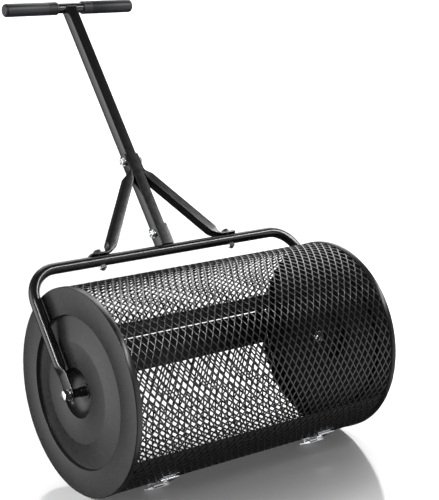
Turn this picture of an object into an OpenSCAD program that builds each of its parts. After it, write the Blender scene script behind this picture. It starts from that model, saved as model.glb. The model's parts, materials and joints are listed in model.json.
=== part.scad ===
// Mesh-drum lawn roller with a T-handle. Millimetres, +Z up.
// The drum turns about the X axis. The origin is the point on the ground under the drum's centre.
// Angles round the drum are measured from straight up towards +Y, the side the handle leans to.

/* [Drum] */
// Outside radius of the end-plate rims, on which the drum rolls
drum_r = 191; // [170:1:210]
// Length over the two end plates
drum_len = 606; // [560:1:620]
// Thickness of the end plates, rails and strips
sheet_t = 1.5; // [1:0.1:2]
// Width of the rim flange that holds the mesh
flange_w = 12; // [8:1:16]
// Thickness of the shells that stand for the expanded mesh
mesh_t = 0.6; // [0.4:0.1:0.8]

/* [Door] */
// Angle of the seam where the door is hinged
hinge_seam = 86.25; // [80:0.25:92]
// Angle of the seam where the door is latched
latch_seam = 213; // [211:0.5:215]
// Half of the angle that each seam leaves open
seam_gap = 0.4; // [0.35:0.05:0.6]
// Distance of each hinge from the middle of the drum
hinge_x = 276; // [40:1:276]
// Distance of each latch from the middle of the drum
latch_x = 187; // [187:1:230]

/* [Handle] */
// Lean of the yoke and handle from the vertical
lean = 37.2; // [20:0.1:60]
// Distance from the axle to the centre of the cross tube
yoke_reach = 241.5; // [238:0.5:260]
// Distance from the axle to the centre of the handlebar
bar_reach = 809.8; // [600:1:950]
// Outside radius of the yoke tube and of the handlebar tube
tube_r = 10.5; // [9:0.5:10.5]
// Wall thickness of every tube
tube_wall = 1.5; // [1:0.1:2]
// Distance of each yoke arm from the middle
arm_x = 316.5; // [315:0.5:330]
// Radius of the yoke's two bends, to the tube's centre
bend_r = 60; // [40:1:80]
// Width of the square handle tube
handle_w = 24; // [18:0.5:25]
// Half of the handlebar's length over the grips
bar_half = 153.2; // [140:0.2:200]
// Outside radius of the grips
grip_r = 13.5; // [12.5:0.1:15]

/* [Hidden] */
$fn = 96;
axle_z = drum_r;
end_x = drum_len / 2;
mesh_out = drum_r - sheet_t;
mesh_in = mesh_out - mesh_t;
strip_in = mesh_in - sheet_t;

// The two seams, and the arcs of the rails and strips beside them
rail_hinge_from = 75.5;
strip_hinge_to = 107.5;
strip_latch_from = 189;
rail_latch_to = 244.25;
door_from = hinge_seam + seam_gap;
door_to = latch_seam - seam_gap;
door_x = end_x - flange_w - 2.5;
rail_x = end_x - sheet_t - 0.1;
rib_w = 14;

// Stamped end plate: radii of its pressed rings and their depths behind the rim's face
hub_hole_r = 9;
hub_flat_r = 17;
hub_depth = 20;
cup_r = 46;
disc_r = 93;
groove_r = 139;
groove_depth = 7;
ring_r = 141;
rim_corner = 1.5;

// Door hinges
knuckle_r = 3.6;
hinge_pin_r = 2;
hinge_axis_r = mesh_out + 3.7;
leaf_t = 1.4;
leaf_span = 8;
leaf_half = 11;
middle_half = 3.6;
knuckle_gap = 0.4;

// Latches, in a frame on the door's skin: y along the skin away from the hinges, z outwards
latch_angle = 206;
keeper_angle = 218.5;
wire_r = 1.5;
lever_pivot = [6, 6.5];
bail_pivot = [-2, 5.6];
bail_bar_height = 4.5;
bail_half = 22;
bail_bend = 3.5;
ear_in = 14;
cheek_in = 16.2;
cheek_out = 17.7;
latch_pin_r = 1.5;
base_half = 18;

// Axle bolts
axle_r = 5;
strap_t = 4;
strap_w = 28;
strap_top = 36;
tube_from = 58;
washer_t = 2;
spring_washer_t = 2.6;
axle_head_h = 8;
bush_in = end_x - hub_depth - 4;
bush_out = end_x - hub_depth + 14;
play = 0.5;

// Handle foot, braces and their bolts, as distances from the axle along the handle
socket_w = 29;
socket_top = 293;
handle_foot = 254;
handle_top = bar_reach - 3;
foot_bolt_d = 279;
brace_bolt_d = 442;
brace_w = 20;
tab_t = 4;
upper_tab = [415, 457];
upper_tab_w = 22;
lower_tab = [132, 174];
lower_tab_w = 20;
brace_top = [21.5, 405];
brace_foot = [122, 266];
drain_r = 2;
foot_bolt_x = 154;
bolt_r = 4;
bolt_hole_r = 4.1;
hex_r = 7.5;
head_h = 5.3;
nut_h = 6.5;
thin_washer = 1.6;
socket_foot = yoke_reach + 7.5;
washer_r = 8.5;
grip_from = 30;
bar_tube_half = bar_half - 4.6;

// Frame of the yoke and handle: x along the axle, z from the axle up the handle
module in_yoke() translate([0, 0, axle_z]) rotate([-lean, 0, 0]) children();

// Frame on the drum's skin at an angle round it: y towards larger angles, z outwards
module on_skin(angle, x = 0)
  translate([x, 0, axle_z]) rotate([-angle, 0, 0]) translate([0, 0, mesh_out]) children();

// Part of a drum wall between two radii, two angles and two places along the axle
module wall(r1, r2, a1, a2, x1, x2)
  translate([0, 0, axle_z]) rotate([0, -90, 0]) rotate([0, 0, a1])
    rotate_extrude(angle = a2 - a1) translate([r1, -x2]) square([r2 - r1, x2 - x1]);

// Round bar along x
module bar_x(r, x1, x2) translate([x1, 0, 0]) rotate([0, 90, 0]) cylinder(r = r, h = x2 - x1);

// Washer along x
module ring_x(r_out, r_in, x1, x2) difference() {
  bar_x(r_out, x1, x2);
  bar_x(r_in, x1 - 1, x2 + 1);
}

// Hexagonal bar along x
module hex_x(r, x1, x2) translate([x1, 0, 0]) rotate([0, 90, 0]) cylinder(r = r, h = x2 - x1, $fn = 6);

module both_sides() {
  children();
  mirror([1, 0, 0]) children();
}

// ---- Yoke, handle and braces ----

module round_tube(length) difference() {
  cylinder(r = tube_r, h = length);
  translate([0, 0, -1]) cylinder(r = tube_r - tube_wall, h = length + 2);
}

module tube_bend() rotate([90, 0, 0]) rotate_extrude(angle = 90) translate([bend_r, 0])
  difference() {
    circle(r = tube_r);
    circle(r = tube_r - tube_wall);
  }

// Lower end of an arm: the tube pressed flat into a strap with the axle hole
module arm_end() {
  difference() {
    union() {
      translate([-strap_t / 2, -strap_w / 2, 0]) cube([strap_t, strap_w, strap_top]);
      translate([-strap_t / 2, 0, 0]) bar_x(strap_w / 2, 0, strap_t);
    }
    bar_x(axle_r + 0.1, -strap_t, strap_t);
  }
  hull() {
    translate([-strap_t / 2, -strap_w / 2, strap_top]) cube([strap_t, strap_w, 0.2]);
    translate([0, 0, tube_from - 0.2]) cylinder(r = tube_r, h = 0.2, $fn = 32);
  }
}

module yoke() color("#232426") in_yoke() {
  both_sides() translate([arm_x, 0, 0]) {
    arm_end();
    translate([0, 0, tube_from]) round_tube(yoke_reach - bend_r - tube_from);
    translate([-bend_r, 0, yoke_reach - bend_r]) tube_bend();
  }
  difference() {
    translate([-(arm_x - bend_r), 0, yoke_reach]) rotate([0, 90, 0]) round_tube(2 * (arm_x - bend_r));
    both_sides() translate([foot_bolt_x, 0, yoke_reach - 2 * tube_r])
      cylinder(r = bolt_hole_r, h = 4 * tube_r);
  }
}

module handle_socket() color("#232426") in_yoke() difference() {
  translate([-socket_w / 2, -socket_w / 2, socket_foot]) cube([socket_w, socket_w, socket_top - socket_foot]);
  translate([-handle_w / 2, -handle_w / 2, handle_foot]) cube([handle_w, handle_w, 100]);
  translate([0, 0, yoke_reach]) bar_x(tube_r, -socket_w, socket_w);
  translate([0, 0, foot_bolt_d]) bar_x(bolt_hole_r, -socket_w, socket_w);
}

module handle_tube() color("#2b2c2f") in_yoke() difference() {
  translate([-handle_w / 2, -handle_w / 2, handle_foot]) cube([handle_w, handle_w, handle_top - handle_foot]);
  translate([tube_wall - handle_w / 2, tube_wall - handle_w / 2, handle_foot - 1])
    cube([handle_w - 2 * tube_wall, handle_w - 2 * tube_wall, bar_reach]);
  translate([0, 0, bar_reach]) bar_x(tube_r, -handle_w, handle_w);
  translate([0, 0, foot_bolt_d]) bar_x(bolt_hole_r, -handle_w, handle_w);
  translate([0, 0, brace_bolt_d]) bar_x(bolt_hole_r, -handle_w, handle_w);
}

module handlebar() color("#232426") in_yoke() translate([0, 0, bar_reach])
  ring_x(tube_r, tube_r - tube_wall, -bar_tube_half, bar_tube_half);

// Soft grip with a rounded closed end
module grip() {
  round = 6;
  steps = 8;
  nose = [for (i = [0 : steps]) [
    grip_r - round + round * cos(90 * i / steps),
    bar_half - round + round * sin(90 * i / steps)
  ]];
  rotate([0, 90, 0]) rotate_extrude() polygon(concat(
    [[tube_r, grip_from], [grip_r - 0.8, grip_from], [grip_r, grip_from + 0.8]],
    nose,
    [[0, bar_half], [0, bar_tube_half], [tube_r, bar_tube_half]]
  ));
}

module grip_right() color("#2a2c35") in_yoke() translate([0, 0, bar_reach]) grip();
module grip_left() color("#2a2c35") in_yoke() translate([0, 0, bar_reach]) mirror([1, 0, 0]) grip();

// Brace: square tube with both ends pressed flat, one on the handle's side and one on the cross tube
module brace() {
  run = norm(brace_foot - brace_top);
  along = (brace_top - brace_foot) / run;
  out = [along[1], -along[0]] * brace_w / 2;
  top_x = handle_w / 2;
  foot_z = yoke_reach + tube_r;
  difference() {
    translate([top_x, -upper_tab_w / 2, upper_tab[0]])
      cube([tab_t, upper_tab_w, upper_tab[1] - upper_tab[0]]);
    translate([top_x, 0, brace_bolt_d]) bar_x(bolt_hole_r, -1, tab_t + 1);
  }
  difference() {
    translate([lower_tab[0], -lower_tab_w / 2, foot_z])
      cube([lower_tab[1] - lower_tab[0], lower_tab_w, tab_t]);
    translate([foot_bolt_x, 0, foot_z - 1]) cylinder(r = bolt_hole_r, h = tab_t + 2);
  }
  difference() {
    rotate([90, 0, 0]) linear_extrude(height = brace_w, center = true) polygon([
      [top_x, upper_tab[0]], [top_x + tab_t, upper_tab[0]], brace_top + out, brace_foot + out,
      [lower_tab[0], foot_z + tab_t], [lower_tab[0], foot_z], brace_foot - out, brace_top - out
    ]);
    translate([brace_foot[0], 0, brace_foot[1]]) rotate([0, atan2(along[0], along[1]), 0]) {
      translate([tube_wall - brace_w / 2, tube_wall - brace_w / 2, 2])
        cube([brace_w - 2 * tube_wall, brace_w - 2 * tube_wall, run - 4]);
      translate([0, 0, 12]) rotate([-90, 0, 0]) cylinder(r = drain_r, h = brace_w);
    }
  }
}

module brace_right() color("#232426") in_yoke() brace();
module brace_left() color("#232426") in_yoke() mirror([1, 0, 0]) brace();

// Bolt across the handle, its head on the right and its nut on the left
module cross_bolt(half) {
  bar_x(bolt_r, -(half + thin_washer + nut_h + 3), half + thin_washer);
  hex_x(hex_r, half + thin_washer, half + thin_washer + head_h);
}

module cross_nut(half) difference() {
  hex_x(hex_r, -(half + thin_washer + nut_h), -(half + thin_washer));
  bar_x(bolt_r, -half - 20, 0);
}

module cross_washers(half) both_sides() ring_x(washer_r, bolt_r, half, half + thin_washer);

top_half = handle_w / 2 + tab_t;
foot_half = socket_w / 2;
foot_z = yoke_reach + tube_r + tab_t;
under_z = yoke_reach - tube_r;

module brace_top_bolt() color("#b9bcc0") in_yoke() translate([0, 0, brace_bolt_d]) cross_bolt(top_half);
module handle_foot_bolt() color("#b9bcc0") in_yoke() translate([0, 0, foot_bolt_d]) cross_bolt(foot_half);

module brace_foot_bolts() color("#b9bcc0") in_yoke() both_sides() translate([foot_bolt_x, 0, 0]) {
  translate([0, 0, under_z - nut_h - 3]) cylinder(r = bolt_r, h = foot_z + thin_washer - under_z + nut_h + 3);
  translate([0, 0, foot_z + thin_washer]) cylinder(r = hex_r, h = head_h, $fn = 6);
}

module frame_nuts() color("#b9bcc0") in_yoke() {
  translate([0, 0, brace_bolt_d]) cross_nut(top_half);
  translate([0, 0, foot_bolt_d]) cross_nut(foot_half);
  both_sides() translate([foot_bolt_x, 0, under_z - nut_h]) difference() {
    cylinder(r = hex_r, h = nut_h, $fn = 6);
    translate([0, 0, -1]) cylinder(r = bolt_r, h = nut_h + 2);
  }
}

module frame_washers() color("#c4c7ca") in_yoke() {
  translate([0, 0, brace_bolt_d]) cross_washers(top_half);
  translate([0, 0, foot_bolt_d]) cross_washers(foot_half);
  both_sides() translate([foot_bolt_x, 0, foot_z]) difference() {
    cylinder(r = washer_r, h = thin_washer);
    translate([0, 0, -1]) cylinder(r = bolt_r, h = thin_washer + 2);
  }
}

// ---- Axle bolts ----

axle_hex_r = 9.8;
strap_face = arm_x + strap_t / 2;
lock_from = bush_in - play - washer_t;
lock_h = 9.5;
head_from = strap_face + washer_t + spring_washer_t;

module axle() translate([0, 0, axle_z]) both_sides() children();

module axle_bolts() color("#b9bcc0") axle() {
  bar_x(axle_r, lock_from - lock_h - 3.5, head_from);
  hex_x(axle_hex_r, head_from, head_from + axle_head_h);
}

module axle_washers() color("#c4c7ca") axle() {
  ring_x(10, axle_r, strap_face, strap_face + washer_t);
  ring_x(9, axle_r, strap_face + washer_t, head_from);
  ring_x(10, axle_r, lock_from, lock_from + washer_t);
}

module axle_spacers() color("#1c1c1e") axle()
  ring_x(8, axle_r, bush_out + play, arm_x - strap_t / 2);

module axle_lock_nuts() color("#b9bcc0") axle() difference() {
  hex_x(axle_hex_r, lock_from - lock_h, lock_from);
  bar_x(axle_r, lock_from - lock_h - 1, lock_from + 1);
}

// ---- Drum ----

// Hub cup of the end plate, as radius and depth, thickened by grow
function cup(grow) = [for (a = [15 : 15 : 75])
  [hub_flat_r + (cup_r - hub_flat_r + grow) * sin(a), (hub_depth + grow) * cos(a)]];

// Points down the outer face of the end plate: radius, then depth behind the rim's face
function plate_face() = concat(
  [[hub_hole_r, hub_depth], [hub_flat_r, hub_depth]],
  cup(0),
  [[cup_r, 0], [disc_r, 0], [groove_r, groove_depth], [ring_r, 0]],
  [for (a = [0 : 22.5 : 90]) [drum_r - rim_corner + rim_corner * sin(a), rim_corner - rim_corner * cos(a)]]
);

function plate_back() = concat(
  [[mesh_out, flange_w], [mesh_out, sheet_t], [ring_r + 1.1, sheet_t]],
  [[groove_r + 1.1, groove_depth + 1.15 * sheet_t], [disc_r - 0.1, sheet_t], [cup_r + sheet_t, sheet_t]],
  [for (i = [4 : -1 : 0]) cup(sheet_t)[i]],
  [[hub_flat_r, hub_depth + sheet_t], [hub_hole_r, hub_depth + sheet_t]]
);

module end_plate() translate([0, 0, axle_z]) rotate([0, -90, 0]) rotate_extrude()
  polygon([for (p = concat(plate_face(), [[drum_r, flange_w]], plate_back())) [p[0], end_x - p[1]]]);

module end_plate_left() color("#3d3e41") end_plate();
module end_plate_right() color("#3d3e41") mirror([1, 0, 0]) end_plate();

// Flanged bush that turns on the axle bolt
module hub_bushes() color("#1c1c1e") axle() difference() {
  union() {
    bar_x(hub_hole_r, bush_in, bush_out);
    bar_x(14, end_x - hub_depth, end_x - hub_depth + sheet_t);
  }
  bar_x(axle_r + 0.05, bush_in - 1, bush_out + 1);
}

module drum_mesh() color("#1d1d1f")
  wall(mesh_in, mesh_out, latch_seam + seam_gap, 360 + hinge_seam - seam_gap, -rail_x, rail_x);

module hinge_rail() color("#4a4b4d")
  wall(strip_in, mesh_in, rail_hinge_from, hinge_seam - seam_gap, -rail_x, rail_x);

module latch_rail() color("#2b2c2f")
  wall(strip_in, mesh_in, latch_seam + seam_gap, rail_latch_to, -rail_x, rail_x);

// ---- Door hinges ----

module hinge_line() translate([0, 0, axle_z]) rotate([-hinge_seam, 0, 0]) translate([0, 0, hinge_axis_r])
  children();

module knuckle(x1, x2, bore) hinge_line() ring_x(knuckle_r, bore, x1, x2);

// Leaf on one side of the seam, cut clear of the other leaf's knuckles
module leaf(a1, a2, x, own, other) {
  difference() {
    wall(mesh_out, mesh_out + leaf_t, a1, a2, x - leaf_half, x + leaf_half);
    hinge_line() {
      for (k = own) bar_x(hinge_pin_r + 0.3, x + k[0], x + k[1]);
      for (k = other) bar_x(knuckle_r + knuckle_gap, x + k[0] - knuckle_gap, x + k[1] + knuckle_gap);
    }
  }
}

drum_knuckles = [[-leaf_half, -middle_half - knuckle_gap], [middle_half + knuckle_gap, leaf_half]];
door_knuckles = [[-middle_half, middle_half]];

module hinge_leaves_drum() color("#2b2c2f") for (x = [-hinge_x, hinge_x]) {
  leaf(hinge_seam - leaf_span, hinge_seam, x, drum_knuckles, door_knuckles);
  for (k = drum_knuckles) knuckle(x + k[0], x + k[1], hinge_pin_r);
}

module hinge_leaves_door() color("#2b2c2f") for (x = [-hinge_x, hinge_x]) {
  leaf(hinge_seam, hinge_seam + leaf_span, x, door_knuckles, drum_knuckles);
  for (k = door_knuckles) knuckle(x + k[0], x + k[1], hinge_pin_r + 0.06);
}

module hinge_pins() color("#b9bcc0") for (x = [-hinge_x, hinge_x]) hinge_line() {
  bar_x(hinge_pin_r, x - leaf_half, x + leaf_half);
  for (side = [-1, 1]) bar_x(hinge_pin_r + 0.8, x + side * (leaf_half + 0.6) - 0.6, x + side * (leaf_half + 0.6) + 0.6);
}

// ---- Door ----

module door_mesh() color("#1d1d1f") wall(mesh_in, mesh_out, door_from, door_to, -door_x, door_x);
module door_hinge_strip() color("#1f2022")
  wall(strip_in, mesh_in, door_from, strip_hinge_to, -door_x, door_x);
module door_latch_strip() color("#1f2022")
  wall(strip_in, mesh_in, strip_latch_from, door_to, -door_x, door_x);
module door_end_ribs() color("#1f2022") both_sides()
  wall(strip_in, mesh_in, strip_hinge_to, strip_latch_from, door_x - rib_w, door_x);

// ---- Latches ----

// Flat shape in the latch's y and z, with a thickness along x
module across(x1, x2) translate([x1, 0, 0]) rotate([90, 0, 90]) linear_extrude(height = x2 - x1) children();

module latch_base(x) {
  spread = 3.4;
  wall(mesh_out, mesh_out + sheet_t, latch_angle - spread, latch_angle + spread, x - base_half, x + base_half);
  on_skin(latch_angle, x) both_sides() difference() {
    across(ear_in, ear_in + sheet_t) union() {
      translate(lever_pivot) circle(r = 2.9);
      translate([lever_pivot[0] - 2.9, 1]) square([5.8, lever_pivot[1] - 1]);
    }
    translate([0, lever_pivot[0], lever_pivot[1]]) bar_x(latch_pin_r, ear_in - 1, ear_in + 3);
  }
}

module latch_bases() color("#8f9295") for (x = [-latch_x, latch_x]) latch_base(x);

module latch_pins() color("#b9bcc0") for (x = [-latch_x, latch_x])
  on_skin(latch_angle, x) translate([0, lever_pivot[0], lever_pivot[1]])
    bar_x(latch_pin_r, -cheek_out - 1, cheek_out + 1);

// Over-centre lever: two cheeks under a sloping top plate that is also the finger tab
module lever() difference() {
  union() {
    across(-cheek_out, cheek_out) polygon([[8, 9.9], [8, 11.4], [-24, 9.1], [-24, 7.6]]);
    both_sides() across(cheek_in, cheek_out)
      polygon([[8.5, 4.6], [8.5, 10.6], [-9, 9.3], [-9, 4], [-5, 2.8], [4, 3]]);
  }
  translate([0, lever_pivot[0], lever_pivot[1]]) bar_x(latch_pin_r + 0.06, -cheek_out - 1, cheek_out + 1);
  translate([0, bail_pivot[0], bail_pivot[1]]) bar_x(wire_r + 0.06, -cheek_out - 1, cheek_out + 1);
}

module latch_lever_left() color("#c4c7ca") on_skin(latch_angle, -latch_x) lever();
module latch_lever_right() color("#c4c7ca") on_skin(latch_angle, latch_x) lever();

// Wire bail from the lever's cheeks over the seam to the keeper
module wire_bend(from) rotate([90, 0, 0]) rotate_extrude(start = from, angle = 90)
  translate([bail_bend, 0]) circle(r = wire_r);

reach_angle = keeper_angle - latch_angle;
bail_r = mesh_out + bail_bar_height;
bail_end = [bail_r * sin(reach_angle), bail_r * cos(reach_angle) - mesh_out];

module bail() {
  along = bail_end - bail_pivot;
  run = norm(along);
  straight = bail_half - bail_bend;
  translate([0, bail_pivot[0], bail_pivot[1]]) rotate([-atan2(along[0], along[1]), 0, 0]) {
    both_sides() {
      bar_x(wire_r, ear_in + sheet_t + 0.5, straight);
      translate([straight, 0, bail_bend]) wire_bend(-90);
      translate([bail_half, 0, bail_bend]) cylinder(r = wire_r, h = run - 2 * bail_bend);
      translate([straight, 0, run - bail_bend]) wire_bend(0);
    }
    translate([0, 0, run]) bar_x(wire_r, -straight, straight);
  }
}

module latch_bail_left() color("#d0d2d5") on_skin(latch_angle, -latch_x) bail();
module latch_bail_right() color("#d0d2d5") on_skin(latch_angle, latch_x) bail();

// Keeper: a plate on the drum with a raised lip in front of the bail's bar
module latch_keepers() color("#8f9295") for (x = [-latch_x, latch_x]) {
  spread = 2.6;
  wall(mesh_out, mesh_out + sheet_t, keeper_angle - spread, keeper_angle + spread, x - base_half, x + base_half);
  on_skin(keeper_angle, x) across(-base_half, base_half)
    polygon([[-7, 0.8], [-7, 1.5], [-5.6, 4.6], [-4.2, 4.2], [-4.2, 3.4], [-3.2, 1], [-3.2, 0.8]]);
}

yoke();
handle_socket();
handle_tube();
handlebar();
grip_left();
grip_right();
brace_left();
brace_right();
brace_top_bolt();
brace_foot_bolts();
handle_foot_bolt();
frame_nuts();
frame_washers();
axle_bolts();
axle_washers();
axle_spacers();
axle_lock_nuts();
end_plate_left();
end_plate_right();
hub_bushes();
drum_mesh();
hinge_rail();
latch_rail();
hinge_leaves_drum();
hinge_pins();
latch_keepers();
door_mesh();
door_hinge_strip();
door_latch_strip();
door_end_ribs();
hinge_leaves_door();
latch_bases();
latch_pins();
latch_lever_left();
latch_lever_right();
latch_bail_left();
latch_bail_right();
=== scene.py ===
# Mesh-drum lawn roller with a T-handle: looks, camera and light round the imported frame.
# Lengths are millimetres in the shape code, and metres for the camera, floor and lights.
import json
import math
import bmesh
import bpy
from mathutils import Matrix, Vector

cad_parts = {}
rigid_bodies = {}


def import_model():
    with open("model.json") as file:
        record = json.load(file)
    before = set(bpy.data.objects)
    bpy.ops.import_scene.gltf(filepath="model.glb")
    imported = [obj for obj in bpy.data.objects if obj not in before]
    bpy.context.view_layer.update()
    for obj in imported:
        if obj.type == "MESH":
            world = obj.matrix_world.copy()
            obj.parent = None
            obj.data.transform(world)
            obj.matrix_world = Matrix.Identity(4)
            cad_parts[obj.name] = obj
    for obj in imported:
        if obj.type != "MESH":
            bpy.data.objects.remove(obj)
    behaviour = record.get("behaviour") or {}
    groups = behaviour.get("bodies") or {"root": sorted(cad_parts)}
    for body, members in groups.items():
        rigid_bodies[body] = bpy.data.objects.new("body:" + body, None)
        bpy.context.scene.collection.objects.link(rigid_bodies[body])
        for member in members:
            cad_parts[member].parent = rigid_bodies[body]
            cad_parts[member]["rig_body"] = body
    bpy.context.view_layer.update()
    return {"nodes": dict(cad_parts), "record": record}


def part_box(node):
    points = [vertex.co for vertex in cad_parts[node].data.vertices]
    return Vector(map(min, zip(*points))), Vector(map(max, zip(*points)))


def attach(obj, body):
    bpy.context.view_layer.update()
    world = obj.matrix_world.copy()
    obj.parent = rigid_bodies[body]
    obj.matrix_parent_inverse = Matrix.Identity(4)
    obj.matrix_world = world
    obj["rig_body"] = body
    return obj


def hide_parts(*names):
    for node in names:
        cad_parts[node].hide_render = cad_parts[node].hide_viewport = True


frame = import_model()
MM = 0.001
TAU = 2 * math.pi


# ---- Sizes read from the frame ----

def span(node):
    """Lowest and highest corner of a CAD node, in millimetres."""
    low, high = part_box(node)
    return [round(v / MM, 2) for v in low], [round(v / MM, 2) for v in high]


AXLE_Z = 1000 * frame["record"]["behaviour"]["joints"][0]["pos_m"][2]
RIM_R = AXLE_Z  # the rims stand on the ground
END_X = span("end_plate_right")[1][0]
bar_low, bar_high = span("handlebar")
TUBE_R = (bar_high[1] - bar_low[1]) / 2
bar_y = (bar_low[1] + bar_high[1]) / 2
bar_z = (bar_low[2] + bar_high[2]) / 2 - AXLE_Z
LEAN = math.atan2(bar_y, bar_z)
BAR_HALF = bar_high[0]
BAR_REACH = math.hypot(bar_y, bar_z)
ARM_X = span("yoke")[1][0] - TUBE_R
MESH_OUT = span("drum_mesh")[1][2] - AXLE_Z
RAIL_X = span("drum_mesh")[1][0]
DOOR_X = span("door_mesh")[1][0]


# ---- Places ----

def in_yoke(x, y, d):
    """Point in the frame of the yoke and handle: x along the axle, d from the axle up the handle."""
    return (x, y * math.cos(LEAN) + d * math.sin(LEAN), AXLE_Z - y * math.sin(LEAN) + d * math.cos(LEAN))


def at_axle(x, y, z):
    return (x, y, z + AXLE_Z)


def round_drum(x, angle, r):
    """Point on a circle round the axle; angles in degrees from straight up towards +Y."""
    return (x, r * math.sin(math.radians(angle)), AXLE_Z + r * math.cos(math.radians(angle)))


# ---- Building solids ----

SHARP = 32  # degrees between faces, above which an edge stays sharp
WELD_WITHIN, FLAT_WITHIN = 0.002, 1.2  # millimetres between points and degrees between faces that become one


class Solid:
    """Points and faces gathered from simple forms."""

    def __init__(self, place=None):
        self.points, self.faces, self.place = [], [], place

    def add(self, points, faces, place=None):
        place = place or self.place
        base = len(self.points)
        self.points += [place(*p) if place else tuple(p) for p in points]
        self.faces += [tuple(base + i for i in f) for f in faces]

    def loft(self, rings, place=None, closed=False):
        """Skin over rings of equal point counts, with flat ends unless closed."""
        n = len(rings[0])
        steps = len(rings) if closed else len(rings) - 1
        faces = []
        for k in range(steps):
            a, b = k * n, (k + 1) % len(rings) * n
            faces += [(a + i, a + (i + 1) % n, b + (i + 1) % n, b + i) for i in range(n)]
        if not closed:
            faces += [tuple(range(n)), tuple((len(rings) - 1) * n + i for i in range(n))]
        self.add([p for ring in rings for p in ring], faces, place)

    def turn(self, profile, place=None, closed=False, segments=64):
        """Profile of (x, r) points turned about the local x axis."""
        circle = [(math.cos(TAU * i / segments), math.sin(TAU * i / segments)) for i in range(segments)]
        self.loft([[(x, r * c, r * s) for c, s in circle] for x, r in profile], place, closed)


def rounded_box(half_a, half_b, radius, steps=4):
    """Outline of a rectangle with round corners."""
    out = []
    for qa, qb, start in ((1, 1, 0), (-1, 1, 90), (-1, -1, 180), (1, -1, 270)):
        for k in range(steps + 1):
            t = math.radians(start + 90 * k / steps)
            out.append((qa * (half_a - radius) + radius * math.cos(t),
                        qb * (half_b - radius) + radius * math.sin(t)))
    return out


def stadium(half_long, half_short, count=48):
    """Outline of a tube pressed from round towards flat."""
    out = []
    for k in range(count):
        c, s = math.cos(TAU * k / count), math.sin(TAU * k / count)
        out.append(((half_long - half_short) * max(-1, min(1, 1.5 * c)) + half_short * c, half_short * s))
    return out


def piece(name, solid, body, material, replaces=(), sharp=SHARP):
    """Turn a solid into an object that rides on a body."""
    mesh = bpy.data.meshes.new(name)
    mesh.from_pydata([tuple(v * MM for v in p) for p in solid.points], [], solid.faces)
    bm = bmesh.new()
    bm.from_mesh(mesh)
    bmesh.ops.recalc_face_normals(bm, faces=bm.faces)
    bm.to_mesh(mesh)
    bm.free()
    return finish_piece(name, mesh, body, material, replaces, sharp)


def finish_piece(name, mesh, body, material, replaces, sharp=SHARP, bevel=0.0):
    """Shade a mesh, round its edges by bevel millimetres and fasten it to a body."""
    mesh.materials.clear()
    mesh.materials.append(material)
    mesh.shade_smooth()
    mesh.set_sharp_from_angle(angle=math.radians(sharp))
    obj = bpy.data.objects.new(name, mesh)
    bpy.context.scene.collection.objects.link(obj)
    if bevel:
        cut = obj.modifiers.new("edges", "BEVEL")
        cut.width = bevel * MM
        cut.segments = 2
        cut.limit_method = "ANGLE"
        cut.angle_limit = math.radians(sharp)
        cut.harden_normals = True
    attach(obj, body)
    if replaces:
        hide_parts(*replaces)
    return obj


def refine(node, material, bevel=0.25):
    """A CAD node's own shape, with its edges rounded."""
    source = frame["nodes"][node]
    mesh = source.data.copy()
    bm = bmesh.new()
    bm.from_mesh(mesh)
    bmesh.ops.remove_doubles(bm, verts=bm.verts, dist=WELD_WITHIN * MM)
    bmesh.ops.dissolve_limit(bm, angle_limit=math.radians(FLAT_WITHIN), verts=bm.verts, edges=bm.edges)
    bm.to_mesh(mesh)
    bm.free()
    finish_piece(node + "_finished", mesh, source["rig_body"], material, [node], bevel=bevel)


# ---- Materials ----

def new_node(tree, kind, inputs=(), **settings):
    """A node with its settings, and with each input linked to a socket or set to a value."""
    node = tree.nodes.new(kind)
    for key, value in settings.items():
        setattr(node, key, value)
    for key, value in dict(inputs).items():
        if isinstance(value, bpy.types.NodeSocket):
            tree.links.new(value, node.inputs[key])
        else:
            node.inputs[key].default_value = value
    return node


class Nodes:
    """Shorthand for a material's node tree."""

    def __init__(self, name):
        self.material = bpy.data.materials.new(name)
        self.material.use_nodes = True
        self.tree = self.material.node_tree
        self.shader = self.tree.nodes["Principled BSDF"]
        self.where = self.tree.nodes.new("ShaderNodeTexCoord").outputs["Object"]

    def new(self, kind, inputs=(), **settings):
        return new_node(self.tree, kind, inputs, **settings)

    def noise(self, scale, detail=3.0, rough=0.5):
        return self.new("ShaderNodeTexNoise", {"Vector": self.where, "Scale": scale, "Detail": detail,
                                               "Roughness": rough}).outputs["Fac"]

    def ramp(self, value, low, high):
        """Blend from low to high, each a colour or a grey, over the middle of a noise's range."""
        node = self.new("ShaderNodeValToRGB", {"Fac": value})
        for element, at, colour in zip(node.color_ramp.elements, (0.3, 0.7), (low, high)):
            element.position = at
            element.color = (*colour, 1) if hasattr(colour, "__len__") else (colour, colour, colour, 1)
        return node.outputs["Color"]

    def bump(self, height, depth_mm, strength=1.0):
        return self.new("ShaderNodeBump", {"Height": height, "Distance": depth_mm * MM, "Strength": strength})

    def wire(self, socket, value):
        if isinstance(value, bpy.types.NodeSocket):
            self.tree.links.new(value, self.shader.inputs[socket])
        else:
            self.shader.inputs[socket].default_value = value


def powder_coat(name, low, high, rough=(0.36, 0.5), peel_mm=0.03, gloss=0.5):
    """Baked powder coat: fine orange peel, and a slight drift in colour and gloss."""
    n = Nodes(name)
    n.wire("Specular IOR Level", gloss)
    n.wire("Base Color", n.ramp(n.noise(38, 5, 0.6), low, high))
    n.wire("Roughness", n.ramp(n.noise(120, 4), *rough))
    peel = n.bump(n.noise(900, 2), peel_mm)
    grain = n.bump(n.noise(2600, 1), peel_mm / 3)
    n.tree.links.new(peel.outputs["Normal"], grain.inputs["Normal"])
    n.wire("Normal", grain.outputs["Normal"])
    return n.material


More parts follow.
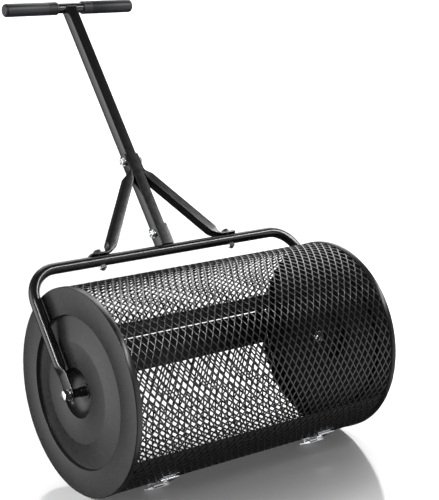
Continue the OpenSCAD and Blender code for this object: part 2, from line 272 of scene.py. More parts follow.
def zinc(name, tint=(0.74, 0.75, 0.77), rough=(0.18, 0.36)):
    """Bright zinc plate with a faint cloudy grain."""
    n = Nodes(name)
    n.wire("Metallic", 1.0)
    dull = tuple(0.82 * v for v in tint)
    n.wire("Base Color", n.ramp(n.noise(260, 4, 0.6), dull, tint))
    n.wire("Roughness", n.ramp(n.noise(500, 3), *rough))
    n.wire("Normal", n.bump(n.noise(1800, 2), 0.012).outputs["Normal"])
    return n.material


def soft_grip(name):
    """Foam rubber: matt, finely pored, a little blue."""
    n = Nodes(name)
    n.wire("Base Color", n.ramp(n.noise(60, 5), (0.005, 0.0055, 0.009), (0.009, 0.010, 0.017)))
    n.wire("Roughness", n.ramp(n.noise(300, 3), 0.42, 0.55))
    pores = n.new("ShaderNodeTexVoronoi", {"Vector": n.where, "Scale": 1400.0}).outputs["Distance"]
    n.wire("Normal", n.bump(pores, 0.06, 0.7).outputs["Normal"])
    n.wire("Sheen Weight", 0.03)
    return n.material


def moulded(name, colour, rough):
    """Moulded nylon with a fine spark-eroded grain."""
    n = Nodes(name)
    n.wire("Base Color", n.ramp(n.noise(90, 4), tuple(0.8 * v for v in colour), colour))
    n.wire("Roughness", n.ramp(n.noise(400, 2), rough - 0.06, rough + 0.06))
    n.wire("Normal", n.bump(n.noise(2200, 2), 0.02).outputs["Normal"])
    return n.material


BLACK = powder_coat("black_powder_coat", (0.007, 0.007, 0.0075), (0.011, 0.011, 0.0115), (0.20, 0.26),
                    peel_mm=0.01)
PLATE = powder_coat("plate_powder_coat", (0.011, 0.011, 0.0112), (0.015, 0.015, 0.0152), (0.26, 0.32),
                    peel_mm=0.015, gloss=0.32)
MESH = powder_coat("mesh_powder_coat", (0.006, 0.006, 0.006), (0.010, 0.010, 0.010), (0.24, 0.32),
                   peel_mm=0.01)
STRIP = powder_coat("strip_powder_coat", (0.007, 0.007, 0.0075), (0.012, 0.012, 0.0125), (0.42, 0.55))
# Darker, duller copy of the plate coat for the plates' inner faces: painted shade for the dim inside of the
# drum.
PLATE_INSIDE_PAINTED_SHADE = powder_coat("plate_inside_painted_shade", (0.005, 0.005, 0.0052), (0.008, 0.008, 0.0082),
                     (0.62, 0.75), gloss=0.12)
# Grey copy of the black coat for the hinge rail: painted light, for the rail's lit face seen through the
# mesh.
RAIL_PAINTED_LIGHT = powder_coat("rail_painted_light_coat", (0.055, 0.055, 0.056), (0.075, 0.075, 0.076), (0.45, 0.6))
ZINC = zinc("bright_zinc")
DARK_ZINC = zinc("black_oxide", (0.10, 0.10, 0.105), (0.3, 0.4))
CHROME = zinc("latch_plate", (0.60, 0.61, 0.63), (0.14, 0.26))
GRIP = soft_grip("grip_foam")
NYLON = moulded("black_nylon", (0.014, 0.014, 0.015), 0.45)
WELD = powder_coat("weld_powder_coat", (0.008, 0.008, 0.0085), (0.014, 0.014, 0.0145), (0.34, 0.46),
                   peel_mm=0.06)


# ---- Frame: yoke, handle, braces ----

YOKE_REACH, BEND_R, BEND_STEPS = 241.5, 60.0, 16
STRAP_T, STRAP_W, STRAP_TOP, TUBE_FROM = 4.0, 28.0, 36.0, 58.0
TIP_HALF = 2.2  # least half width of the strap's tip
TUBE_WALL, TUBE_EDGE = 1.5, 0.4
HANDLE_W, HANDLE_CORNER, HANDLE_FOOT, HANDLE_GAP = 24.0, 2.8, 254.0, 3.0
SOCKET_W, SOCKET_WALL, SOCKET_CORNER, SOCKET_FROM, SOCKET_TOP = 29.0, 2.4, 3.0, YOKE_REACH + 7.5, 293.0


def arm_sections(side):
    """Rings from the round tip of the strap up to the start of the bend."""
    rings = []
    for k in range(1, 10):
        t = math.radians(10 * k)
        half = STRAP_W / 2 * math.sin(t)
        rings.append((-STRAP_W / 2 * math.cos(t), max(half, TIP_HALF), STRAP_T / 2))
    rings += [(STRAP_TOP * 0.5, STRAP_W / 2, STRAP_T / 2), (STRAP_TOP, STRAP_W / 2, STRAP_T / 2)]
    for k in range(1, 9):
        t = k / 8
        ease = t * t * (3 - 2 * t)
        long = STRAP_W / 2 + (TUBE_R - STRAP_W / 2) * ease
        short = STRAP_T / 2 + (TUBE_R - STRAP_T / 2) * ease
        rings.append((STRAP_TOP + (TUBE_FROM - STRAP_TOP) * t, long, short))
    out = []
    for d, long, short in rings:
        out.append([(side * (ARM_X + b), a, d) for a, b in stadium(long, short)])
    return out


def make_yoke():
    """The bent tube as one skin, from the left arm's tip to the right arm's tip."""
    round_ring = stadium(TUBE_R, TUBE_R)
    left, right = [], []
    for side, rings in ((-1, left), (1, right)):
        rings += arm_sections(side)
        for k in range(BEND_STEPS + 1):
            t = math.radians(90 * k / BEND_STEPS)
            cx = ARM_X - BEND_R + BEND_R * math.cos(t)
            cd = YOKE_REACH - BEND_R + BEND_R * math.sin(t)
            rings.append([(side * (cx + b * math.cos(t)), a, cd + b * math.sin(t)) for a, b in round_ring])
    s = Solid(in_yoke)
    s.loft(left + right[::-1])
    piece("yoke_tube", s, "frame", BLACK, ["yoke"])


def square_tube(half, wall, corner, low, high):
    """Rings of an open square tube, outside up and inside down."""
    outer = rounded_box(half, half, corner)
    inner = rounded_box(half - wall, half - wall, max(corner - wall, 0.6))
    lip = rounded_box(half - TUBE_EDGE, half - TUBE_EDGE, corner - 0.3)
    levels = [(inner, low), (lip, low), (outer, low + TUBE_EDGE), (outer, high - TUBE_EDGE), (lip, high),
              (inner, high)]
    return [[(x, y, d) for x, y in ring] for ring, d in levels]


def make_handle():
    s = Solid(in_yoke)
    s.loft(square_tube(SOCKET_W / 2, SOCKET_WALL, SOCKET_CORNER, SOCKET_FROM, SOCKET_TOP), closed=True)
    piece("handle_sleeve", s, "frame", BLACK, ["handle_socket"])
    s = Solid(in_yoke)
    s.loft(square_tube(HANDLE_W / 2, TUBE_WALL, HANDLE_CORNER, HANDLE_FOOT, BAR_REACH - HANDLE_GAP),
           closed=True)
    piece("handle_post", s, "frame", BLACK, ["handle_tube"])
    s = Solid(in_yoke)
    flat, bore = BAR_HALF - TUBE_EDGE, TUBE_R - TUBE_WALL
    s.turn([(-BAR_HALF, bore), (-BAR_HALF, TUBE_R - TUBE_EDGE), (-flat, TUBE_R), (flat, TUBE_R),
            (BAR_HALF, TUBE_R - TUBE_EDGE), (BAR_HALF, bore)],
           lambda x, y, z: in_yoke(x, y, z + BAR_REACH), closed=True)
    piece("handlebar_tube", s, "frame", BLACK, ["handlebar"])


def make_grips():
    """Soft grips with a rolled mouth, faint rings and a round end."""
    low, high = span("grip_right")
    start, end = low[0], high[0]
    r = (high[1] - low[1]) / 2
    nose, ring_count, ring_from, ring_pitch, ring_depth = 6.0, 6, 6.0, 3.2, 0.35
    profile = [(start, TUBE_R + 0.05), (start, r - 1.6), (start + 0.5, r - 0.6), (start + 1.6, r)]
    for k in range(ring_count):
        x = start + ring_from + ring_pitch * k
        profile += [(x - 0.9, r), (x - 0.3, r - ring_depth), (x + 0.3, r - ring_depth), (x + 0.9, r)]
    for k in range(17):
        t = math.radians(90 * k / 16)
        profile.append((end - nose + nose * math.sin(t), r - nose + nose * math.cos(t)))
    profile += [(end - 0.1, 4.0), (end - 0.5, 3.0), (end - 0.5, 0.4)]
    for side, name in ((1, "right"), (-1, "left")):
        s = Solid()
        s.turn([(side * x, rr) for x, rr in profile], lambda x, y, z: in_yoke(x, y, z + BAR_REACH),
               segments=72)
        piece("foam_grip_" + name, s, "frame", GRIP, ["grip_" + name], sharp=40)


def weld_bead(path, radius, name):
    """Rippled bead along a closed path of yoke-frame points."""
    count = len(path)
    pts = [Vector(p) for p in path]
    rings = []
    for k in range(count):
        ahead = (pts[(k + 1) % count] - pts[k - 1]).normalized()
        side = ahead.cross(Vector((0.3, 0.2, 0.93))).normalized()
        up = side.cross(ahead)
        r = radius * (1 + 0.16 * math.sin(TAU * k / 4))
        rings.append([tuple(pts[k] + r * (math.cos(TAU * i / 8) * side + math.sin(TAU * i / 8) * up))
                      for i in range(8)])
    s = Solid(in_yoke)
    s.loft(rings, closed=True)
    piece(name, s, "frame", WELD, sharp=60)


LEAST_RISE = 3.0  # of the bead where the square tube is wider than the round one


def saddle(half, tube_d, sign, per_side=16):
    """Where a square tube of that half width meets the round cross tube at tube_d."""
    out = []
    corners = [(half, half), (-half, half), (-half, -half), (half, -half)]
    for (x0, y0), (x1, y1) in zip(corners, corners[1:] + corners[:1]):
        for k in range(per_side):
            x, y = x0 + (x1 - x0) * k / per_side, y0 + (y1 - y0) * k / per_side
            rise = math.sqrt(max(TUBE_R ** 2 - y ** 2, LEAST_RISE ** 2))
            out.append((x, y, tube_d + sign * rise))
    return out


BRACE_W, BRACE_CORNER, TAB_T, TAB_END_R, TAB_CORNER = 20.0, 2.8, 4.0, 7.0, 1.2
PRESS_STEPS = 8
UPPER_TAB, UPPER_W, LOWER_TAB, LOWER_W = (415, 457), 22.0, (132, 174), 20.0
BRACE_TOP, BRACE_FOOT = (21.5, 405), (122, 266)
FOOT_Z = YOKE_REACH + TUBE_R


def make_brace(side, name):
    """Square tube pressed flat at both ends, as one skin from tab to tab."""
    top, foot = Vector(BRACE_TOP), Vector(BRACE_FOOT)
    along = (foot - top).normalized()
    out = Vector((-along[1], along[0]))
    tube_across = -out if out[0] < 0 else out
    half = BRACE_W / 2
    sections = []

    def section(centre, across, half_y, half_t, corner):
        ring = rounded_box(half_y, half_t, corner, 5)
        sections.append([(side * (centre[0] + across[0] * t), y, centre[1] + across[1] * t) for y, t in ring])

    tab_x, flat = HANDLE_W / 2 + TAB_T / 2, Vector((1, 0))
    for k in range(1, 7):
        t = math.radians(15 * k)
        section((tab_x, UPPER_TAB[1] - TAB_END_R + TAB_END_R * math.cos(t)), flat,
                UPPER_W / 2 - TAB_END_R + TAB_END_R * math.sin(t), TAB_T / 2, TAB_CORNER)
    section((tab_x, UPPER_TAB[0] + 4), flat, UPPER_W / 2, TAB_T / 2, TAB_CORNER)
    start = Vector((tab_x, UPPER_TAB[0] + 2))
    for k in range(1, PRESS_STEPS):
        t = k / PRESS_STEPS
        ease = t * t * (3 - 2 * t)
        section(start.lerp(top + along * 8, t), flat.lerp(tube_across, ease).normalized(),
                UPPER_W / 2 + (half - UPPER_W / 2) * ease, TAB_T / 2 + (half - TAB_T / 2) * ease,
                TAB_CORNER + (BRACE_CORNER - TAB_CORNER) * ease)
    section(top + along * 10, tube_across, half, half, BRACE_CORNER)
    section(foot - along * 6, tube_across, half, half, BRACE_CORNER)
    tab_z, up = FOOT_Z + TAB_T / 2, Vector((0, 1))
    end = Vector((LOWER_TAB[0] + 2, tab_z))
    for k in range(1, PRESS_STEPS):
        t = k / PRESS_STEPS
        ease = t * t * (3 - 2 * t)
        section((foot - along * 4).lerp(end, t), tube_across.lerp(up, ease).normalized(),
                half + (LOWER_W / 2 - half) * ease, half + (TAB_T / 2 - half) * ease,
                BRACE_CORNER + (TAB_CORNER - BRACE_CORNER) * ease)
    section((LOWER_TAB[0] + 5, tab_z), up, LOWER_W / 2, TAB_T / 2, TAB_CORNER)
    for k in range(6, 0, -1):
        t = math.radians(15 * k)
        section((LOWER_TAB[1] - TAB_END_R + TAB_END_R * math.cos(t), tab_z), up,
                LOWER_W / 2 - TAB_END_R + TAB_END_R * math.sin(t), TAB_T / 2, TAB_CORNER)
    s = Solid(in_yoke)
    s.loft(sections)
    piece("brace_tube_" + name, s, "frame", BLACK, ["brace_" + name], sharp=40)


# ---- Fasteners ----

BOLT_R, HEX_R, HEAD_H, NUT_H, WASHER_R, THIN, HOLE_GAP = 4.0, 7.5, 5.3, 6.5, 8.5, 1.6, 0.1
BRACE_BOLT_D, FOOT_BOLT_D, FOOT_BOLT_X = 442.0, 279.0, 154.0
BOLT_TIP, CROSS_THREAD, FOOT_THREAD, PITCH = 3.0, 14.0, 16.0, 1.25
AXLE_R, AXLE_HEX_R, AXLE_HEAD_H, AXLE_NUT_H, AXLE_THREAD, AXLE_TIP = 5.0, 9.8, 8.0, 7.5, 22.0, 13.0
AXLE_WASHER_R, AXLE_WASHER_T, SPRING_WASHER_R, SPRING_WASHER_T = 10.0, 2.0, 9.0, 2.6
SPACER_R, PLAY = 8.0, 0.5
CHAMFER_FROM = 0.97  # of the radius to the flats, where the turned chamfer starts


def hex_rings(across_corner, x0, x1, chamfer_low, chamfer_high, count=48):
    """Rings of a hexagonal bar along x with turned chamfers: (x, y, z) points."""
    flat = across_corner * math.cos(math.pi / 6)
    slope = math.tan(math.radians(30))
    step = 1 if x1 > x0 else -1
    rings = [[], [], [], []]
    for i in range(count):
        t = TAU * i / count
        rho = flat / math.cos((t + math.pi / 6) % (math.pi / 3) - math.pi / 6)
        cut = (rho - flat * CHAMFER_FROM) * slope
        c, s = math.cos(t), math.sin(t)
        low = x0 + step * (cut if chamfer_low else 0)
        high = x1 - step * (cut if chamfer_high else 0)
        near = flat * CHAMFER_FROM if chamfer_low else rho
        far = flat * CHAMFER_FROM if chamfer_high else rho
        for ring, x, r in zip(rings, (x0, low, high, x1), (near, rho, rho, far)):
            ring.append((x, r * c, r * s))
    return rings


def threaded(s, r, x0, x1, pitch, place):
    """Threaded end of a bolt, as one helical skin with a chamfered tip."""
    steps, segments = 6, 24
    step = pitch / steps if x1 > x0 else -pitch / steps
    count = int(abs(x1 - x0) / abs(step))
    rings = []
    for k in range(count + 1):
        x = x0 + step * k
        fade = min(1.0, k / steps, (count - k) / steps)
        ring = []
        for i in range(segments):
            phase = (k / steps - i / segments) % 1.0
            tip = 0.5 * (1 - min(1, (count - k) / steps))
            depth = 0.55 * pitch * (1 - abs(2 * phase - 1)) * fade + tip
            t = TAU * i / segments
            ring.append((x, (r - depth) * math.cos(t), (r - depth) * math.sin(t)))
        rings.append(ring)
    s.loft(rings, place)


def bolt(s, r, corner, head_from, head_to, shank_to, thread_len, place):
    """Hexagon bolt along x: head, shank and threaded end."""
    s.loft(hex_rings(corner, head_from, head_to, False, True), place)
    step = 1 if head_to > head_from else -1
    thread_from = shank_to + step * thread_len
    s.turn([(head_from + step * 0.5, r), (thread_from - step * 0.3, r), (thread_from - step * 0.6, r - 0.3)],
           place, segments=32)
    threaded(s, r, thread_from, shank_to, PITCH, place)


def nut(s, bore, corner, x0, x1, place):
    """Hexagon nut: turned chamfers and an open bore."""
    outer = hex_rings(corner, x0, x1, True, True)
    count = len(outer[0])
    step = 1 if x1 > x0 else -1

    def inner(x, r):
        return [(x, r * math.cos(TAU * i / count), r * math.sin(TAU * i / count)) for i in range(count)]
    rings = [inner(x0 + step * 0.5, bore), inner(x0, bore + 0.6)] + outer
    rings += [inner(x1, bore + 0.6), inner(x1 - step * 0.5, bore)]
    s.loft(rings, place, closed=True)


def washer(s, r_out, r_in, x0, x1, place):
    edge = 0.25
    e = edge if x1 > x0 else -edge
    s.turn([(x0, r_in), (x0, r_out - edge), (x0 + e, r_out), (x1 - e, r_out), (x1, r_out - edge), (x1, r_in)],
           place, closed=True, segments=48)


def make_frame_fasteners():
    nuts, washers = Solid(), Solid()

    def cross(d, half, name, node):
        """Bolt across a square tube, d up the handle, with a washer at half to each side of its middle."""
        place = lambda x, y, z: in_yoke(x, y, z + d)
        s = Solid()
        face = half + THIN
        bolt(s, BOLT_R, HEX_R, face, face + HEAD_H, -(face + NUT_H + BOLT_TIP), CROSS_THREAD, place)
        nut(nuts, BOLT_R, HEX_R, -face, -(face + NUT_H), place)
        for side in (-1, 1):
            washer(washers, WASHER_R, BOLT_R + HOLE_GAP, side * half, side * face, place)
        piece(name, s, "frame", ZINC, [node])

    cross(BRACE_BOLT_D, HANDLE_W / 2 + TAB_T, "upper_hex_bolt", "brace_top_bolt")
    cross(FOOT_BOLT_D, SOCKET_W / 2, "lower_hex_bolt", "handle_foot_bolt")
    feet = Solid()
    top = FOOT_Z + TAB_T
    under = YOKE_REACH - TUBE_R
    for side in (-1, 1):
        place = lambda x, y, z, side=side: in_yoke(side * FOOT_BOLT_X + y, z, x)
        bolt(feet, BOLT_R, HEX_R, top + THIN, top + THIN + HEAD_H, under - NUT_H - BOLT_TIP, FOOT_THREAD,
             place)
        washer(feet, WASHER_R, BOLT_R + HOLE_GAP, top, top + THIN, place)
        nut(nuts, BOLT_R, HEX_R, under, under - NUT_H, place)
    piece("foot_hex_bolts", feet, "frame", DARK_ZINC, ["brace_foot_bolts"])
    piece("hex_nuts", nuts, "frame", ZINC, ["frame_nuts"])
    piece("flat_washers", washers, "frame", ZINC, ["frame_washers"])


def make_axles():
    bolts, nuts, washers, spacers, rings = Solid(), Solid(), Solid(), Solid(), Solid()
    strap_face = ARM_X + STRAP_T / 2
    head_from = strap_face + AXLE_WASHER_T + SPRING_WASHER_T
    lock_from = BUSH_IN - PLAY - AXLE_WASHER_T
    spacer_from, spacer_to = BUSH_OUT + PLAY, ARM_X - STRAP_T / 2
    hole = AXLE_R + HOLE_GAP
    ring_from, ring_to = lock_from - AXLE_NUT_H, lock_from - AXLE_NUT_H - 2
    for side in (-1, 1):
        place = lambda x, y, z, side=side: at_axle(side * x, y, z)
        bolt(bolts, AXLE_R, AXLE_HEX_R, head_from, head_from + AXLE_HEAD_H, lock_from - AXLE_TIP, AXLE_THREAD,
             place)
        washer(washers, AXLE_WASHER_R, hole, strap_face, strap_face + AXLE_WASHER_T, place)
        washer(washers, SPRING_WASHER_R, hole, strap_face + AXLE_WASHER_T + 0.1, head_from, place)
        washer(washers, AXLE_WASHER_R, hole, lock_from, lock_from + AXLE_WASHER_T, place)
        nut(nuts, AXLE_R, AXLE_HEX_R, lock_from, ring_from, place)
        rings.turn([(ring_from, hole), (ring_from, 7.6), (ring_to + 0.6, 7.4), (ring_to, 6.6),
                    (ring_to, hole)], place, closed=True, segments=48)
        spacers.turn([(spacer_from, hole), (spacer_from, SPACER_R - 0.4), (spacer_from + 0.4, SPACER_R),
                      (spacer_to - 0.4, SPACER_R), (spacer_to, SPACER_R - 0.4), (spacer_to, hole)],
                     place, closed=True, segments=64)
    piece("axle_hex_bolts", bolts, "frame", ZINC, ["axle_bolts"])
    piece("axle_flat_washers", washers, "frame", ZINC, ["axle_washers"])
    piece("axle_hex_lock_nuts", nuts, "frame", ZINC, ["axle_lock_nuts"])
    piece("lock_nut_inserts", rings, "frame", NYLON)
    piece("axle_spacer_tubes", spacers, "frame", NYLON, ["axle_spacers"])


# ---- Drum ----

HUB_HOLE_R, HUB_FLAT_R, HUB_DEPTH, CUP_R, DISC_R = 9.0, 17.0, 20.0, 46.0, 93.0
GROOVE_R, GROOVE_DEPTH, RING_R, RIM_CORNER, FLANGE_W = 139.0, 7.0, 141.0, 1.5, 12.0
SHEET_T, PLATE_SEGMENTS = 1.5, 192
BUSH_IN, BUSH_OUT = END_X - HUB_DEPTH - 4, END_X - HUB_DEPTH + 14
BUSH_BORE, BUSH_FLANGE_R = 5.2, 14.0


def fillet_line(points, radius, steps=5):
    """A line of points with each inner corner rounded."""
    out = [points[0]]
    for a, b, c in zip(points, points[1:], points[2:]):
        a, b, c = Vector(a), Vector(b), Vector(c)
        u, v = (a - b).normalized(), (c - b).normalized()
        reach = min(radius / math.tan(u.angle(v) / 2), 0.45 * (a - b).length, 0.45 * (c - b).length)
        for k in range(steps + 1):
            t = k / steps
            out.append(tuple((1 - t) ** 2 * (b + u * reach) + 2 * t * (1 - t) * b + t * t * (b + v * reach)))
    return out + [points[-1]]


def make_plate(side, name):
    """Stamped plate as one skin: the outer face from the hub to the flange, then the inner face back."""
    cup = [(HUB_FLAT_R + (CUP_R - HUB_FLAT_R) * math.sin(math.radians(t)),
            HUB_DEPTH * math.cos(math.radians(t))) for t in range(8, 87, 6)]
    face = [(HUB_HOLE_R, HUB_DEPTH), (HUB_FLAT_R, HUB_DEPTH)] + cup
    face += fillet_line([(CUP_R, 1.5), (CUP_R + 0.1, 0), (DISC_R, 0), (GROOVE_R, GROOVE_DEPTH), (RING_R, 0),
                         (RIM_R - RIM_CORNER, 0)], 0.9, 3)
    face += [(RIM_R - RIM_CORNER + RIM_CORNER * math.sin(math.radians(t)),
              RIM_CORNER - RIM_CORNER * math.cos(math.radians(t))) for t in range(15, 91, 15)]
    face += [(RIM_R, FLANGE_W - 0.3), (RIM_R - 0.3, FLANGE_W)]
    back = [(MESH_OUT, FLANGE_W), (MESH_OUT, SHEET_T), (RING_R + 1.1, SHEET_T),
            (GROOVE_R + 1.1, GROOVE_DEPTH + 1.15 * SHEET_T), (DISC_R - 0.1, SHEET_T),
            (CUP_R + SHEET_T, SHEET_T)]
    back += [(HUB_FLAT_R + (CUP_R - HUB_FLAT_R + SHEET_T) * math.sin(math.radians(t)),
              (HUB_DEPTH + SHEET_T) * math.cos(math.radians(t))) for t in range(80, 7, -6)]
    back += [(HUB_FLAT_R, HUB_DEPTH + SHEET_T), (HUB_HOLE_R, HUB_DEPTH + SHEET_T)]
    s = Solid(at_axle)
    s.turn([(side * (END_X - depth), r) for r, depth in face + back], closed=True,
           segments=PLATE_SEGMENTS)
    plate = piece("pressed_plate_" + name, s, "drum", PLATE, ["end_plate_" + name], sharp=50)
    # The inner faces get the darker copy of the coat: painted shade inside the drum.
    plate.data.materials.append(PLATE_INSIDE_PAINTED_SHADE)
    for polygon in plate.data.polygons:
        polygon.material_index = polygon.index >= PLATE_SEGMENTS * len(face)


def make_hub_bushes():
    s = Solid()
    for side in (-1, 1):
        place = lambda x, y, z, side=side: at_axle(side * x, y, z)
        flange = END_X - HUB_DEPTH
        s.turn([(BUSH_IN, BUSH_BORE), (BUSH_IN, HUB_HOLE_R - 0.5), (BUSH_IN + 0.5, HUB_HOLE_R),
                (flange, HUB_HOLE_R), (flange, BUSH_FLANGE_R - 0.4), (flange + 0.4, BUSH_FLANGE_R),
                (flange + 1.1, BUSH_FLANGE_R), (flange + 1.5, BUSH_FLANGE_R - 0.4),
                (flange + 1.5, HUB_HOLE_R + 0.6), (flange + 2.2, HUB_HOLE_R), (BUSH_OUT - 0.5, HUB_HOLE_R),
                (BUSH_OUT, HUB_HOLE_R - 0.5), (BUSH_OUT, BUSH_BORE)], place, closed=True, segments=72)
    piece("flanged_hub_bushes", s, "drum", NYLON, ["hub_bushes"], sharp=40)


# Expanded mesh: diamonds longer round the drum than along it. TILT lifts one side of each hole and lowers the
# other. RIDGE lifts the middle of each knuckle, and RIDGE_SHIFT moves it along the drum.
STRAND, STRAND_T, TILT = 2.5, 1.8, 0.6
RIDGE, RIDGE_SHIFT = 0.35, 0.45
SIDE_WIDTH, TIP_WIDTH, KNUCKLE_HALF = 0.62 * STRAND, 0.9 * STRAND, 0.63
PITCH_X, ROWS, KNUCKLE = 15.6, 47, 0.9
NODE_X, NODE_ANGLE = -245.4, -49.7
DRUM_MESH_ANGLES, DOOR_MESH_ANGLES = (213.4, 445.85), (86.65, 212.6)


def expanded_mesh(name, x_range, angle_range, body, node):
    """One closed skin of strands and knuckles, cut to the panel and rolled round the drum."""
    arc = MESH_OUT - STRAND_T / 2
    per_degree = math.radians(1) * arc
    half_x, half_s = PITCH_X / 2, 180 / ROWS * per_degree
    low_s, high_s = [(a - NODE_ANGLE) * per_degree for a in angle_range]
    low_x, high_x = [x - NODE_X for x in x_range]
    side, tip = half_x - SIDE_WIDTH, half_s - KNUCKLE - TIP_WIDTH
    corner = [(side, KNUCKLE_HALF), (0, tip), (-side, KNUCKLE_HALF),
              (-side, -KNUCKLE_HALF), (0, -tip), (side, -KNUCKLE_HALF)]
    lift = [TILT, 0, -TILT, -TILT, 0, TILT]
    points, faces, node_index = [], [], {}

    def lattice(i, j):
        """Top and bottom point of a knuckle's middle."""
        if (i, j) not in node_index:
            node_index[i, j] = len(points)
            points.append((i * half_x + RIDGE_SHIFT, j * half_s, RIDGE + STRAND_T / 2))
            points.append((i * half_x + RIDGE_SHIFT, j * half_s, RIDGE - STRAND_T / 2))
        return node_index[i, j]

    for i in range(math.floor(low_x / half_x) - 1, math.ceil(high_x / half_x) + 2):
        for j in range(math.floor(low_s / half_s) - 1, math.ceil(high_s / half_s) + 2):
            if (i + j) % 2 == 0:
                continue
            base = len(points)
            for (x, s), up in zip(corner, lift):
                points.append((i * half_x + x, j * half_s + s, up + STRAND_T / 2))
                points.append((i * half_x + x, j * half_s + s, up - STRAND_T / 2))
            east, north = lattice(i + 1, j), lattice(i, j + 1)
            west, south = lattice(i - 1, j), lattice(i, j - 1)
            h = [base + 2 * k for k in range(6)]
            top = [(h[0], east, north, h[1]), (h[2], h[1], north, west), (h[3], west, south, h[4]),
                   (h[5], h[4], south, east), (h[5], east, h[0]), (h[2], west, h[3])]
            faces += top
            faces += [tuple(v + 1 for v in reversed(f)) for f in top]
            faces += [(h[k], h[(k + 1) % 6], h[(k + 1) % 6] + 1, h[k] + 1) for k in range(6)]
    mesh = bpy.data.meshes.new(name)
    mesh.from_pydata(points, [], faces)
    bm = bmesh.new()
    bm.from_mesh(mesh)
    for spot, way in (((low_x, 0, 0), (-1, 0, 0)), ((high_x, 0, 0), (1, 0, 0)),
                      ((0, low_s, 0), (0, -1, 0)), ((0, high_s, 0), (0, 1, 0))):
        cut = bmesh.ops.bisect_plane(bm, geom=bm.verts[:] + bm.edges[:] + bm.faces[:], dist=1e-5,
                                     plane_co=spot, plane_no=way, clear_outer=True)
        rim = [e for e in cut["geom_cut"] if isinstance(e, bmesh.types.BMEdge)]
        bmesh.ops.holes_fill(bm, edges=rim, sides=0)
    for v in bm.verts:
        x, s, n = v.co
        v.co = Vector(round_drum(x + NODE_X, NODE_ANGLE + s / per_degree, arc + n)) * MM
    bmesh.ops.recalc_face_normals(bm, faces=bm.faces)
    bm.to_mesh(mesh)
    bm.free()
    finish_piece(name, mesh, body, MESH, [node], sharp=80)


def make_drum():
    make_plate(-1, "left")
    make_plate(1, "right")
    make_hub_bushes()
    expanded_mesh("diamond_mesh_drum", (-RAIL_X, RAIL_X), DRUM_MESH_ANGLES, "drum", "drum_mesh")
    expanded_mesh("diamond_mesh_door", (-DOOR_X, DOOR_X), DOOR_MESH_ANGLES, "door", "door_mesh")
    # The hinge rail's grey coat is painted light.
    refine("hinge_rail", RAIL_PAINTED_LIGHT, 0.3)
    for node in ("latch_rail", "door_hinge_strip", "door_latch_strip", "door_end_ribs"):
        refine(node, STRIP, 0.3)
    for node in ("hinge_leaves_drum", "hinge_leaves_door"):
        refine(node, BLACK)
    for node in ("hinge_pins", "latch_pins"):
        refine(node, ZINC, 0.2)
    for node in ("latch_bases", "latch_keepers", "latch_lever_left", "latch_lever_right"):
        refine(node, CHROME)
    for node in ("latch_bail_left", "latch_bail_right"):
        refine(node, CHROME, 0.0)


# ---- Camera, floor and light ----

SENSOR_MM, LENS_MM = 36.0, 98.70
CAMERA_AT, CAMERA_DOWN, CAMERA_TURN = (-1.51734, -1.99270, 0.99234), 13.101, -37.622
FLOOR_HALF, DOME_R = 36, 55  # metres
STUDIO_DARK = 0.05
# Panels of light: direction, flattening in height, cosines at the edge and the middle, strength
PANELS = [
    ((-0.88, 0.47, 0.0), 1.0, 0.74, 1.0, 3.2),
    ((0.88, 0.45, 0.10), 0.7, 0.87, 0.97, 2.9),
    ((0.66, -0.62, -0.25), 1.0, 0.76, 0.95, 1.5),
    ((0.45, 0.60, 0.66), 1.0, 0.86, 0.97, 2.5),
]


def make_camera():
    data = bpy.data.cameras.new("photo_view")
    data.sensor_width = SENSOR_MM
    data.lens = LENS_MM
    data.clip_end = 200
    camera = bpy.data.objects.new("photo_view", data)
    camera.location = CAMERA_AT
    camera.rotation_euler = (math.radians(90 - CAMERA_DOWN), 0, math.radians(CAMERA_TURN))
    bpy.context.scene.collection.objects.link(camera)
    bpy.context.scene.camera = camera


def softbox(name, place, target, size, power):
    """Softbox of that size in metres, facing target. It shows in reflections alone."""
    data = bpy.data.lights.new(name, "AREA")
    data.shape = "RECTANGLE"
    data.size, data.size_y = size
    data.energy = power
    lamp = bpy.data.objects.new(name, data)
    lamp.location = place
    lamp.rotation_euler = (Vector(target) - Vector(place)).to_track_quat("-Z", "Y").to_euler()
    lamp.visible_diffuse = False
    bpy.context.scene.collection.objects.link(lamp)


def soft_sun(name, way, strength, width):
    """Far, wide and soft light that shines that way. It shows in no reflection."""
    data = bpy.data.lights.new(name, "SUN")
    data.energy = strength
    data.angle = math.radians(width)
    lamp = bpy.data.objects.new(name, data)
    lamp.rotation_euler = Vector(way).to_track_quat("-Z", "Y").to_euler()
    lamp.visible_glossy = False
    bpy.context.scene.collection.objects.link(lamp)


def make_floor():
    """White floor: glossy beside the object, matt and evenly white far from it."""
    n = Nodes("studio_floor")
    reach = n.new("ShaderNodeVectorMath", {0: n.where}, operation="LENGTH").outputs["Value"]
    far = n.new("ShaderNodeMapRange", {"Value": reach, "From Min": 0.8, "From Max": 2.5}).outputs["Result"]
    n.wire("Base Color", n.ramp(n.noise(3, 3), (0.80, 0.80, 0.80), (0.83, 0.83, 0.83)))
    n.wire("Roughness", n.ramp(n.noise(40, 3), 0.10, 0.13))
    gloss = n.new("ShaderNodeMapRange", {"Value": far, "To Min": 0.6, "To Max": 0.0})
    n.wire("Specular IOR Level", gloss.outputs["Result"])
    glow = n.new("ShaderNodeMapRange", {"Value": far, "To Min": 0.07, "To Max": 0.6})
    n.wire("Emission Color", (1, 1, 1, 1))
    n.wire("Emission Strength", glow.outputs["Result"])
    mesh = bpy.data.meshes.new("floor")
    corners = [(FLOOR_HALF * x, FLOOR_HALF * y, 0) for x, y in ((-1, -1), (1, -1), (1, 1), (-1, 1))]
    mesh.from_pydata(corners, [], [(0, 1, 2, 3)])
    mesh.materials.append(n.material)
    floor = bpy.data.objects.new("floor", mesh)
    bpy.context.scene.collection.objects.link(floor)
    floor.visible_glossy = False


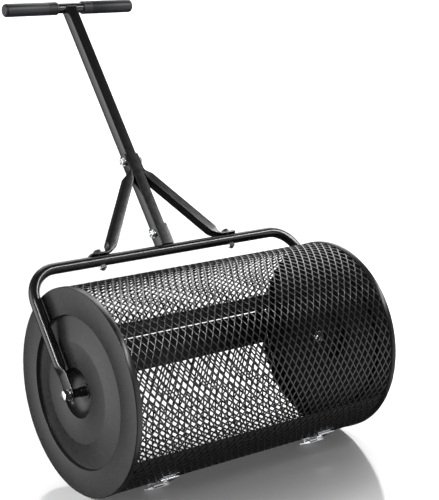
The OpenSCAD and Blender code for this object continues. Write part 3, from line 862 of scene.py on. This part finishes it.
def make_world():
    """Dark studio with large soft panels, each a smooth spot of light round a direction."""
    world = bpy.data.worlds.new("studio")
    world.use_nodes = True
    tree = world.node_tree
    background = tree.nodes["Background"]
    background.inputs["Color"].default_value = (1, 1, 1, 1)
    way = tree.nodes.new("ShaderNodeTexCoord").outputs["Generated"]
    total = STUDIO_DARK
    for axis, flatten, edge, middle, strength in PANELS:
        flat = new_node(tree, "ShaderNodeVectorMath", {0: way, 1: (1, 1, flatten)}, operation="MULTIPLY")
        unit = new_node(tree, "ShaderNodeVectorMath", {0: flat.outputs[0]}, operation="NORMALIZE")
        dot = new_node(tree, "ShaderNodeVectorMath", {0: unit.outputs[0], 1: Vector(axis).normalized()},
                       operation="DOT_PRODUCT")
        spot = new_node(tree, "ShaderNodeMapRange",
                        {"Value": dot.outputs["Value"], "From Min": edge, "From Max": middle, "To Min": 0.0,
                         "To Max": strength}, interpolation_type="SMOOTHSTEP")
        total = new_node(tree, "ShaderNodeMath", {0: total, 1: spot.outputs["Result"]},
                         operation="ADD").outputs[0]
    tree.links.new(total, background.inputs["Strength"])
    bpy.context.scene.world = world


def make_backdrop():
    """White dome that only the camera sees, so that it lights and mirrors nothing."""
    mesh = bpy.data.meshes.new("backdrop")
    bm = bmesh.new()
    bmesh.ops.create_icosphere(bm, subdivisions=4, radius=DOME_R)
    bm.to_mesh(mesh)
    bm.free()
    n = Nodes("backdrop_white")
    n.wire("Base Color", (0, 0, 0, 1))
    n.wire("Specular IOR Level", 0.0)
    n.wire("Emission Color", (1, 1, 1, 1))
    n.wire("Emission Strength", 1.0)
    mesh.materials.append(n.material)
    dome = bpy.data.objects.new("backdrop", mesh)
    bpy.context.scene.collection.objects.link(dome)
    dome.visible_diffuse = dome.visible_glossy = dome.visible_transmission = dome.visible_shadow = False


def make_lights():
    soft_sun("key", (0.68, -0.52, -0.56), 3.1, 36)
    soft_sun("fill", (-0.1, 0.25, -0.95), 0.5, 60)
    softbox("front_left_box", (-2.5, -1.03, 2.0), (0, 0, 0.3), (0.6, 0.6), 45)
    softbox("front_top_box", (1.9, -1.9, 2.45), (0, 0, 0.4), (3.0, 0.35), 100)


bpy.context.scene.view_settings.view_transform = "Standard"
make_camera()
make_floor()
make_world()
make_backdrop()
make_lights()
make_yoke()
make_handle()
make_grips()
make_brace(-1, "left")
make_brace(1, "right")
weld_bead(saddle(SOCKET_W / 2 - 1, YOKE_REACH, 1), 1.6, "socket_weld")
weld_bead(saddle(HANDLE_W / 2 - 0.5, BAR_REACH, -1), 1.4, "handlebar_weld")
make_frame_fasteners()
make_axles()
make_drum()
